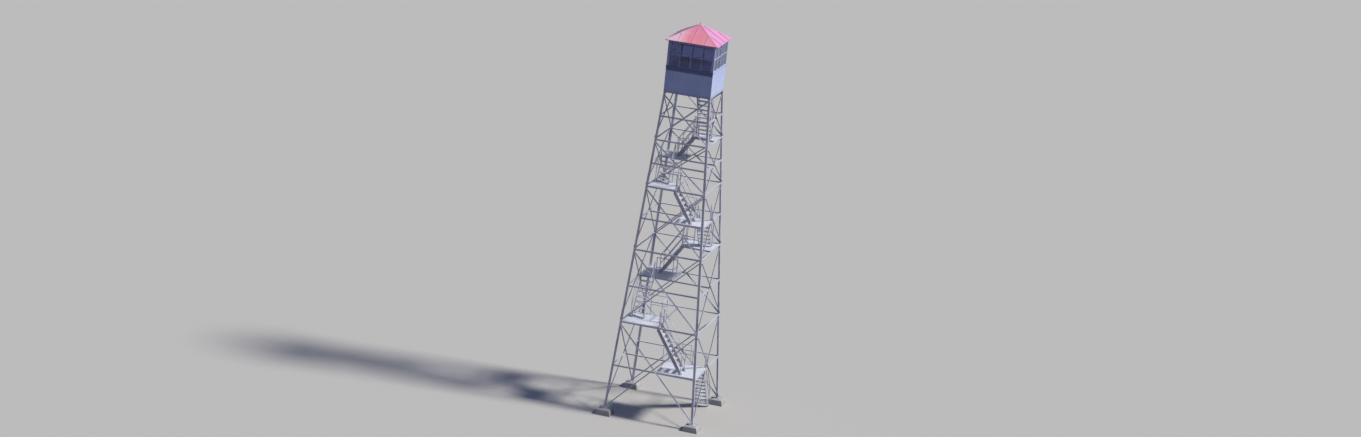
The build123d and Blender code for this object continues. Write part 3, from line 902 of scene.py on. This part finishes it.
for flight in flights:
    for x, z in flight.treads():
        span_x = (x - tread_depth / 2, x + tread_depth / 2)
        span_y = (-flight.outer + stringer_thickness, -flight.inner - stringer_thickness)
        tread_lugs += lug_places(span_x, span_y, z, flight.turn)
make_lugs("tread_lugs", tread_lugs)

# %% [markdown]
# ### Bolts and cleats of the stair
#
# Two bolts through the stringer hold each end of a tread, and a small angle cleat ties the
# foot of each stringer to the landing or the ground.

# %% Tread bolts and stringer cleats
tread_flange = 0.004
tread_bolt_spread = 0.055
cleat_size = 0.06
cleat_thickness = 0.006
cleat_length = 0.09
cleat_bolt_shift = 0.02
cleat_bolt_gauge = 0.035
cleat_outline = [(0, 0), (cleat_size, 0), (cleat_size, cleat_thickness),
                 (cleat_thickness, cleat_thickness), (cleat_thickness, cleat_size), (0, cleat_size)]
cleat = prism(cleat_outline, cleat_length)
tread_bolt = bolt(stringer_thickness + tread_flange, size=0.7)
cleat_bolt = bolt(cleat_thickness, size=0.7)
cleat_head = joined(washer(0.012, 0.002), hexagon_head(0.0095, 0.007, 0.002))
tread_spots = []
cleat_places = []
cleat_spots = []
cleat_heads = []
for flight in flights:
    faces_out = turned(0, -1, 0, flight.turn)
    downhill = turned(1, 0, 0, flight.turn)
    for x, z in flight.treads():
        for shift in (-tread_bolt_spread, tread_bolt_spread):
            for distance, normal in ((flight.outer, faces_out), (flight.inner, -faces_out)):
                spot = flight.point(x + shift, distance, z - tread_height / 2)
                tread_spots.append(place(spot, normal))
    foot_x = flight.end - tread_setback
    for distance, way in ((flight.outer - stringer_thickness, 1),
                          (flight.inner + stringer_thickness, -1)):
        corner = flight.point(foot_x - cleat_length / 2, distance, flight.bottom)
        cleat_places.append(place_on(corner, faces_out * -way, Vector((0, 0, 1)), downhill))
        for shift in (-cleat_bolt_shift, cleat_bolt_shift):
            spot = flight.point(foot_x + shift, distance - way * cleat_bolt_gauge,
                                flight.bottom + cleat_thickness)
            cleat_heads.append(place(spot))
            spot = flight.point(foot_x + shift, distance - way * cleat_thickness,
                                flight.bottom + cleat_bolt_gauge)
            cleat_spots.append(place(spot, faces_out * -way))
make_piece("tread_bolts", copies(tread_bolt, tread_spots))
make_piece("stringer_cleats",
           joined(copies(cleat, cleat_places), copies(cleat_bolt, cleat_spots),
                  copies(cleat_head, cleat_heads)))

# %% [markdown]
# ## Pipe rails
#
# The handrails are steel pipe. In the solids they are eight-sided bars; here they become round
# pipes. Top rails have domed ends, the rails of a landing bend round its corner, and every post
# has a weld bead under its top rail. A pipe is a ring of points carried along a line.

# %% Round pipes along a line
rail_radius = rail_diameter / 2
weld_bead = 0.0045
weld_height = 0.012
dome_rises = [math.radians(angle) for angle in (30, 60, 82)]


def with_bends(line, radius, steps=6):
    """A line whose corners are replaced by arcs."""
    path = [line[0]]
    for before, corner, after in zip(line, line[1:], line[2:]):
        ways = [(end - corner).normalized() for end in (before, after)]
        half = ways[0].angle(ways[1]) / 2
        centre = corner + (ways[0] + ways[1]).normalized() * (radius / math.sin(half))
        first, last = ((corner + way * (radius / math.tan(half)) - centre).normalized()
                       for way in ways)
        for step in range(steps + 1):
            path.append(centre + first.slerp(last, step / steps).normalized() * radius)
    return path + [line[-1]]


def pipe(line, radius=rail_radius, sides_round=16, dome=True):
    """A round pipe along a line of points, with domed or flat ends."""
    tangents = []
    for number in range(len(line)):
        before = line[max(number - 1, 0)]
        after = line[min(number + 1, len(line) - 1)]
        tangents.append((after - before).normalized())
    stations = [(point, tangent, radius) for point, tangent in zip(line, tangents)]
    if dome:
        start_cap, end_cap = ([(line[end] + tangents[end] * way * radius * math.sin(rise),
                                tangents[end], radius * math.cos(rise)) for rise in dome_rises]
                              for end, way in ((0, -1), (-1, 1)))
        stations = start_cap[::-1] + stations + end_cap
    across = stations[0][1].orthogonal().normalized()
    rings = []
    for point, tangent, size in stations:
        across = (across - tangent * across.dot(tangent)).normalized()
        third = tangent.cross(across)
        for side in range(sides_round):
            angle = 2 * math.pi * side / sides_round
            rings.append(point + (across * math.cos(angle) + third * math.sin(angle)) * size)
    faces = lathe([(1, height) for height in range(len(stations))], sides_round)[1]
    return listed(rings), faces


weld = lathe([(rail_radius, 0), (rail_radius + weld_bead, weld_bead / 2),
              (rail_radius + weld_bead / 2, weld_bead * 1.6), (rail_radius, weld_height)], 16)
print("a straight pipe has", len(pipe([Vector((0, 0, 0)), Vector((0, 0, 1))])[1]), "faces")

# %% Weld beads at the foot of the shoe cleats
cleat_reach = 0.098
cleat_inner = 0.016
shoe_weld_radius = 0.0045
shoe_beads = []
for turn in sides.values():
    for side_turn, way in ((turn, -1), (turn - 90, 1)):
        run = [turned(way * (base_half - reach), cleat_inner - base_half, shoe_top, side_turn)
               for reach in (cleat_inner, cleat_reach)]
        shoe_beads.append(pipe(run, shoe_weld_radius, 8))
make_piece("shoe_welds", joined(*shoe_beads))

# %% [markdown]
# The posts of a flight stand beside its stringers, bolted to them, with the top rail resting
# on the posts and a knee rail half way up.

# %% Rails of the flights
rail_lap = 0.090
rail_end = 0.05
post_bolt_rises = [0.018, 0.060]
post_bolt = bolt(rail_diameter + stringer_thickness, size=0.75)
flight_rails = []
weld_places = []
post_spots = []
for flight in flights:
    upper_x = flight.start + tread_depth / 2
    lower_x = flight.end - tread_setback
    slope_run = Vector((1, 0, -flight.grade)).normalized()
    for distance, way in ((flight.outer + rail_radius, 1), (flight.inner - rail_radius, -1)):
        for x in (upper_x, lower_x):
            foot = max(flight.line(x) - rail_lap / 2, flight.bottom)
            head = flight.line(x) + rail_height - rail_radius
            flight_rails.append(pipe([flight.point(x, distance, z) for z in (foot, head)],
                                     dome=False))
            weld_places.append(place(flight.point(x, distance, head - rail_radius), (0, 0, -1)))
            for rise in post_bolt_rises:
                spot = flight.point(x, distance + way * rail_radius, foot + rise)
                post_spots.append(place(spot, turned(0, -way, 0, flight.turn)))
        for height, extra in ((rail_height - rail_radius, rail_end), (rail_height / 2, 0.0)):
            line = [flight.point(x + past * slope_run.x, distance,
                                 flight.line(x) + height + past * slope_run.z)
                    for x, past in ((upper_x, -extra), (lower_x, extra))]
            flight_rails.append(pipe(line, dome=extra > 0))
make_piece("stair_pipe_rails",
           joined(*flight_rails, copies(weld, weld_places), copies(post_bolt, post_spots)),
           pipe_steel, instead_of=["stair_handrails"])

# %% Rails of the landings
bend_radius = 0.06
landing_pipes = []
landing_welds = []
for number, (level, turn) in enumerate(zip(landing_levels, landing_turns)):
    foot = deck_top(level)
    top = foot + landing_rail_height - rail_radius
    newel = -landing_edge - rail_diameter
    arriving, leaving = (-flight.inner + rail_diameter + rail_clearance
                         for flight in flights[number:number + 2])
    spots = [(newel, leaving), (newel, newel), (arriving, newel)]
    for x, y in spots:
        if x == y:
            x = y = newel - bend_radius * (1 - math.sqrt(0.5))
        landing_pipes.append(pipe([turned(x, y, z, turn) for z in (foot, top)], dome=False))
        landing_welds.append(place(turned(x, y, foot, turn)))
        landing_welds.append(place(turned(x, y, top - rail_radius, turn), (0, 0, -1)))
    for height, dome in ((landing_rail_height - rail_radius, True),
                         (landing_rail_height / 2, False)):
        corners = [turned(x, y, foot + height, turn) for x, y in spots]
        landing_pipes.append(pipe(with_bends(corners, bend_radius), dome=dome))
make_piece("landing_pipe_rails", joined(*landing_pipes, copies(weld, landing_welds)),
           pipe_steel, instead_of=["landing_rails"])

# %% [markdown]
# ## The cab's walls
#
# Each wall is three sheets wide. The sheets lap at their edges, an angle trim covers each
# corner, and rows of round-headed bolts run along every lap, trim and edge. The laps are thin
# strips that stand as proud as a real lap.

# %% Laps, trims and round-headed bolts
wall_low, wall_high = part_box("wall_south")
wall_bottom, wall_top = wall_low.z, wall_high.z
wall_height = wall_top - wall_bottom
wall_middle = (wall_top + wall_bottom) / 2
lap_width = 0.045
lap_proud = 0.002
trim_width = 0.052
trim_proud = 0.003
edge_strip = 0.04
edge_proud = lap_proud * 1.3
bolt_spacing = 0.145
bolt_margin = 0.03
corner_margin = 0.12
round_head = lathe([(0.0085, 0), (0.008, 0.002), (0.0055, 0.0042), (0.002, 0.005)], 10)


def wall_rings(turn, x, z, width, height, steps):
    """Upright rectangles round a point, from pairs of inset and distance from the middle."""
    points = []
    for inset, distance in steps:
        w, h = width / 2 - inset, height / 2 - inset
        points += [turned(x + sx * w, -distance, z + sz * h, turn)
                   for sx, sz in ((-1, -1), (1, -1), (1, 1), (-1, 1))]
    return listed(points)


def flat_strip(turn, x, z, width, height, proud):
    """A thin strip with eased edges on the outside of a wall, given by its middle."""
    ease = min(proud * 0.7, 0.002)
    steps = [(0, cab_half), (0, cab_half + (proud - ease)), (ease, cab_half + proud)]
    faces = [(3, 2, 1, 0), (8, 9, 10, 11)] + band(4, 0, 4) + band(4, 4, 8)
    return wall_rings(turn, x, z, width, height, steps), faces


def wall_bolts(turn, across, heights, proud):
    """Places for bolts on the outside of a strip, one at each point of a grid."""
    return [place(turned(x, -cab_half - proud, z, turn), turned(0, -1, 0, turn))
            for x in across for z in heights]


strips = []
head_spots = []
trim_x = cab_half - trim_width / 2 + trim_proud
bolts_up = spaced(wall_bottom + bolt_margin, wall_top - bolt_margin, bolt_spacing)
bolts_across = spaced(-cab_half + corner_margin, cab_half - corner_margin, bolt_spacing)
for turn in sides.values():
    for middle, width, proud in ((cab_half / 3, lap_width, lap_proud),
                                 (trim_x, trim_width, trim_proud)):
        for x in (-middle, middle):
            strips.append(flat_strip(turn, x, wall_middle, width, wall_height, proud))
            head_spots += wall_bolts(turn, [x], bolts_up, proud)
    for z in (wall_bottom + edge_strip / 2, wall_top - edge_strip / 2):
        strips.append(flat_strip(turn, 0, z, 2 * cab_half - 2 * trim_width, edge_strip, edge_proud))
        head_spots += wall_bolts(turn, bolts_across, [z], edge_proud)
make_piece("wall_laps_and_trims", joined(*strips), wall_paint)
make_piece("wall_bolt_heads", copies(round_head, head_spots), trim_paint)

# %% [markdown]
# ## The windows
#
# Every side has eight lights in a steel frame. A pane is bedded against the bars with a
# sloping fillet of putty on the outside. The fillet is a ring with a three-cornered section
# round each light. Cover strips mark where the two opening sashes of a side meet, and each
# sash has two hinges at its side.

# %% Putty round the panes
post_thickness = 0.006
window_bar_depth = 0.018
window_border = 0.030
window_mullion = 0.026
window_transom = 0.018
lights_across = 4
lights_high = 2
window_low, window_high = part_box("window_frame_south")
window_width = window_high.x - window_low.x
window_bottom, window_top = window_low.z, window_high.z
window_height = window_top - window_bottom


def light_size(length, bar, count):
    """The clear size of each of so many lights between the borders and the bars."""
    return (length - 2 * window_border - (count - 1) * bar) / count


light_width = light_size(window_width, window_mullion, lights_across)
light_height = light_size(window_height, window_transom, lights_high)
glass_face = cab_half - post_thickness - window_bar_depth
putty_width = 0.010
putty_depth = 0.012
putty_gap = 0.0005


def putty_ring(turn, x, z):
    """A three-cornered fillet between the bars and the outside of one pane."""
    steps = [(putty_gap, glass_face + putty_depth), (putty_width, glass_face + putty_gap),
             (putty_gap, glass_face + putty_gap)]
    faces = band(4, 0, 4) + band(4, 4, 8) + band(4, 8, 0)
    return wall_rings(turn, x, z, light_width, light_height, steps), faces


putty_rings = []
for turn in sides.values():
    for column in range(lights_across):
        for row in range(lights_high):
            x = (column - (lights_across - 1) / 2) * (light_width + window_mullion)
            z = (window_bottom + window_border + light_height / 2
                 + row * (light_height + window_transom))
            putty_rings.append(putty_ring(turn, x, z))
make_piece("pane_putty", joined(*putty_rings), pane_putty)

# %% Meeting strips and hinges of the windows
hinge_height = 0.07
hinge_radius = 0.007
hinge_inset = 0.006
hinge_proud = 0.002
hinge_end_gap = 0.16
meeting_strip_width = 0.034
meeting_strip_proud = 0.004
meeting_strip_gap = 0.004
hinge_tip = hinge_radius * 0.6
hinge_taper = 0.003
hinge = lathe([(hinge_tip, 0), (hinge_radius, hinge_taper),
               (hinge_radius, hinge_height - hinge_taper), (hinge_tip, hinge_height)], 10)
fittings = []
hinge_places = []
for turn in sides.values():
    points, faces = flat_strip(turn, 0, (window_bottom + window_top) / 2, meeting_strip_width,
                               window_height - meeting_strip_gap, meeting_strip_proud)
    fittings.append((points + listed([turned(0, post_thickness, 0, turn)]), faces))
    for way in (-1, 1):
        for z in (window_bottom + hinge_end_gap, window_top - hinge_end_gap - hinge_height):
            spot = turned(way * (window_width / 2 - hinge_inset),
                          -(cab_half - post_thickness) - hinge_proud, z, turn)
            hinge_places.append(place(spot))
make_piece("window_fittings", joined(*fittings, copies(hinge, hinge_places)),
           trim_paint)

# %% [markdown]
# ## The cab's floor
#
# Softwood boards lie across the joists, each with its top edges eased, and stop at the hatch
# where the stair comes up. The boards take the place of the plain slab.

# %% Floor boards
floor_low, floor_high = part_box("cab_floor")
board_width = 0.104
board_gap = 0.002
board_ease = 0.003
rail_gap = 0.010
hatch_outer = flights[0].outer + rail_diameter + rail_gap
hatch_inner = flights[0].inner - rail_diameter - rail_gap
hatch_end = hatch_start + hatch_length
board_count = round((floor_high.y - floor_low.y) / board_width)
board_pitch = (floor_high.y - floor_low.y) / board_count


def board(x_start, x_end, y_start, y_end):
    """One board along x, with its upper edges eased."""
    z_low, z_high = floor_low.z, floor_high.z
    outline = [
        (y_start, z_low), (y_end, z_low),
        (y_end, z_high - board_ease), (y_end - board_ease, z_high),
        (y_start + board_ease, z_high), (y_start, z_high - board_ease),
    ]
    points, faces = prism(outline, x_end - x_start)
    return np.stack([points[:, 2] + x_start, points[:, 0], points[:, 1]], 1), faces


boards = []
for number in range(board_count):
    y_start = floor_low.y + number * board_pitch
    y_end = y_start + board_pitch - board_gap
    cuts = [y_start, *(edge for edge in (hatch_start, hatch_end) if y_start < edge < y_end), y_end]
    for low, high in zip(cuts, cuts[1:]):
        if hatch_start <= (low + high) / 2 <= hatch_end:
            boards.append(board(floor_low.x, hatch_inner, low, high))
            boards.append(board(hatch_outer, floor_high.x, low, high))
        else:
            boards.append(board(floor_low.x, floor_high.x, low, high))
make_piece("floor_boards", joined(*boards), board_wood, instead_of=["cab_floor"])

# %% [markdown]
# ## The roof
#
# Each slope is made of strips joined by standing seams, with folded caps over the hips and a
# drip edge turned down along the eaves. Screws with washers hold the caps and the
# edges. A seam ends just short of the hip, so its length follows from its place.

# %% Seams, drip edge and screws
roof_overhang = 0.120
roof_rise = 0.660
eave_height = 2.370
eave_half = cab_half + roof_overhang
eave_level = cab_base + eave_height
roof_slope = roof_rise / eave_half
roof_sheet = 0.005
roof_cap_half = 0.15
slope_length = math.hypot(eave_half, roof_rise)
seam_places = [-0.6, 0.0, 0.6]
seam_width = 0.012
seam_height = 0.022
hip_cap_width = 0.062
seam_hip_gap = 1.15 * hip_cap_width
seam_eave_gap = 0.004
seam_sink = 0.001
hip_cap_thickness = 0.004
hip_length = math.hypot(eave_half, slope_length)
cap_share = 1 - roof_cap_half / eave_half
drip_lip = 0.030
drip_flat = 0.045
drip_sheet = 0.002
drip_gap = 0.0002
drip_past = 0.003
screw_spacing = 0.2
screw_corner_gap = 0.13
screw_edge_gap = 0.024
hip_screw_inset = 0.042
hip_screw_start = 0.16
hip_screw_end_gap = 0.05


def slope_normal(turn):
    return turned(0, -roof_slope, 1, turn).normalized()


def roof_point(turn, x, up, out=0.0):
    """A point on a slope: x along the eave, up the slope from the eave, out from the sheet."""
    share = up / slope_length
    spot = turned(x, -eave_half * (1 - share), eave_level + roof_rise * share, turn)
    return spot + slope_normal(turn) * (roof_sheet + out)


def seam(turn, x):
    """A standing seam with a bevelled top, from the eave to a hip or to the cap at the peak."""
    hip_at = slope_length * (1 - abs(x) / eave_half) - seam_hip_gap
    if x == 0:
        hip_at = slope_length * cap_share
    start = roof_point(turn, x, seam_eave_gap)
    run = roof_point(turn, x, hip_at) - start
    w = seam_width / 2
    crown, shoulder = w * 0.4, seam_height * 0.75
    outline = [(-w, -seam_sink), (w, -seam_sink), (w, shoulder), (crown, seam_height),
               (-crown, seam_height), (-w, shoulder)]
    across = turned(1, 0, 0, turn)
    down = across.cross(slope_normal(turn))
    if down.dot(run) < 0:
        start = start + run
    return copies(prism(outline, run.length), [place_on(start, across, slope_normal(turn), down)])


def drip_edge(turn):
    """A strip folded over the eave: a flat on the slope and a lip turned down."""
    points = []
    drop = Vector((0, 0, -drip_lip))
    for way in (-1, 1):
        inner, inner_low = (roof_point(turn, way * (eave_half - drip_flat), drip_flat, out)
                            for out in (drip_sheet, drip_gap))
        top_out = roof_point(turn, way * eave_half, -drip_past, drip_sheet)
        under = roof_point(turn, way * eave_half, drip_sheet - drip_past, drip_gap)
        points += [inner, top_out, top_out + drop, under + drop, under, inner_low]
    count = len(points) // 2
    faces = [tuple(range(count)), tuple(reversed(range(count, 2 * count)))]
    faces += [(after, corner, second, second_after)
              for corner, after, second_after, second in band(count, 0, count)]
    return listed(points), faces


def hip_screws(turn):
    """Places for screws through the wings of the two hip caps that lie on a slope."""
    last = hip_length * cap_share - hip_screw_end_gap
    for run in spaced(hip_screw_start, last, screw_spacing):
        x = eave_half - (run * eave_half + hip_screw_inset * slope_length) / hip_length
        up = (run * slope_length - hip_screw_inset * eave_half) / hip_length
        for way in (-1, 1):
            yield place(roof_point(turn, way * x, up, hip_cap_thickness), slope_normal(turn))


screw = joined(washer(0.011, 0.002), lathe([(0.007, 0.002), (0.0065, 0.005), (0.003, 0.0065)], 6))
roof_shapes = []
screw_spots = []
for turn in sides.values():
    roof_shapes += [seam(turn, x) for x in seam_places] + [drip_edge(turn)]
    for x in spaced(-eave_half + screw_corner_gap, eave_half - screw_corner_gap, screw_spacing):
        screw_spots.append(place(roof_point(turn, x, screw_edge_gap, drip_sheet),
                                 slope_normal(turn)))
    screw_spots += hip_screws(turn)
make_piece("roof_seams_and_edges", joined(*roof_shapes), roof_finish)
make_piece("roof_screws", copies(screw, screw_spots))

# %% [markdown]
# ## Floor, light and world
#
# The tower stands on a plain pale floor. One wide, soft lamp from the east does what the sun
# does in the photograph: it lights the roof, the landings and the narrow side, and leaves the
# wide side in the shade. The world fills the shade with a cool light, as a blue sky does.
# What the camera and mirrors see of the world and the floor is pale, but the light that they
# send back onto the tower is that of darker ground, so the shade stays shade.

# %% Studio
backdrop_tone = 0.52
ground_tone = 0.07
floor_tint = (1.04, 1.01, 0.91)
sky_fill = (0.104, 0.130, 0.265, 1.0)
lamp_colour = (1.0, 0.985, 0.96)
lamp_strength = 3.85
lamp_elevation = math.radians(43)
lamp_azimuth = 6
lamp_softness = math.radians(9)
floor_radius = 900
floor_level = -0.001


def two_tone(tree, socket, hidden, shown):
    """Fill a socket with one colour for light, and one for the camera, a mirror or a pane."""
    studio = Recipe(tree)
    path = studio.node("ShaderNodeLightPath", {}).outputs
    seen = studio.maths("MAXIMUM", path["Is Camera Ray"], path["Is Glossy Ray"])
    seen = studio.maths("MAXIMUM", seen, path["Is Transmission Ray"])
    studio.put(socket, studio.mix(seen, hidden, shown))


def grey(tone, tint=(1, 1, 1)):
    return (tone * tint[0], tone * tint[1], tone * tint[2], 1.0)


floor_finish = bpy.data.materials.new("studio_floor")
floor_finish.use_nodes = True
floor_sockets = floor_finish.node_tree.nodes["Principled BSDF"].inputs
floor_sockets["Roughness"].default_value = 1.0
floor_sockets["Specular IOR Level"].default_value = 0.0
two_tone(floor_finish.node_tree, floor_sockets["Base Color"],
         grey(ground_tone), grey(backdrop_tone, floor_tint))
floor_mesh = bpy.data.meshes.new("studio_floor")
floor_points, floor_faces = lathe([(floor_radius, floor_level)], 64)
floor_mesh.from_pydata(floor_points.tolist(), [], floor_faces[-1:])
floor_mesh.materials.append(floor_finish)
studio_floor = added("studio_floor", floor_mesh)

world = bpy.data.worlds.new("studio")
world.use_nodes = True
bpy.context.scene.world = world
two_tone(world.node_tree, world.node_tree.nodes["Background"].inputs["Color"],
         sky_fill, grey(backdrop_tone))

lamp_data = bpy.data.lights.new("east_lamp", "SUN")
lamp_data.energy = lamp_strength
lamp_data.angle = lamp_softness
lamp_data.color = lamp_colour
lamp = added("east_lamp", lamp_data)
towards_lamp = turned(math.cos(lamp_elevation), 0, math.sin(lamp_elevation), lamp_azimuth)
lamp.rotation_mode = "QUATERNION"
lamp.rotation_quaternion = towards_lamp.to_track_quat("Z", "Y")
bpy.context.scene.view_settings.view_transform = "Standard"
print("lamp comes from", [round(value, 2) for value in towards_lamp])

# %% [markdown]
# ## Count what was added
#
# The number of triangles that the dressing added is printed.

# %% Count the triangles added
print("triangles added:", sum(piece_triangles.values()))
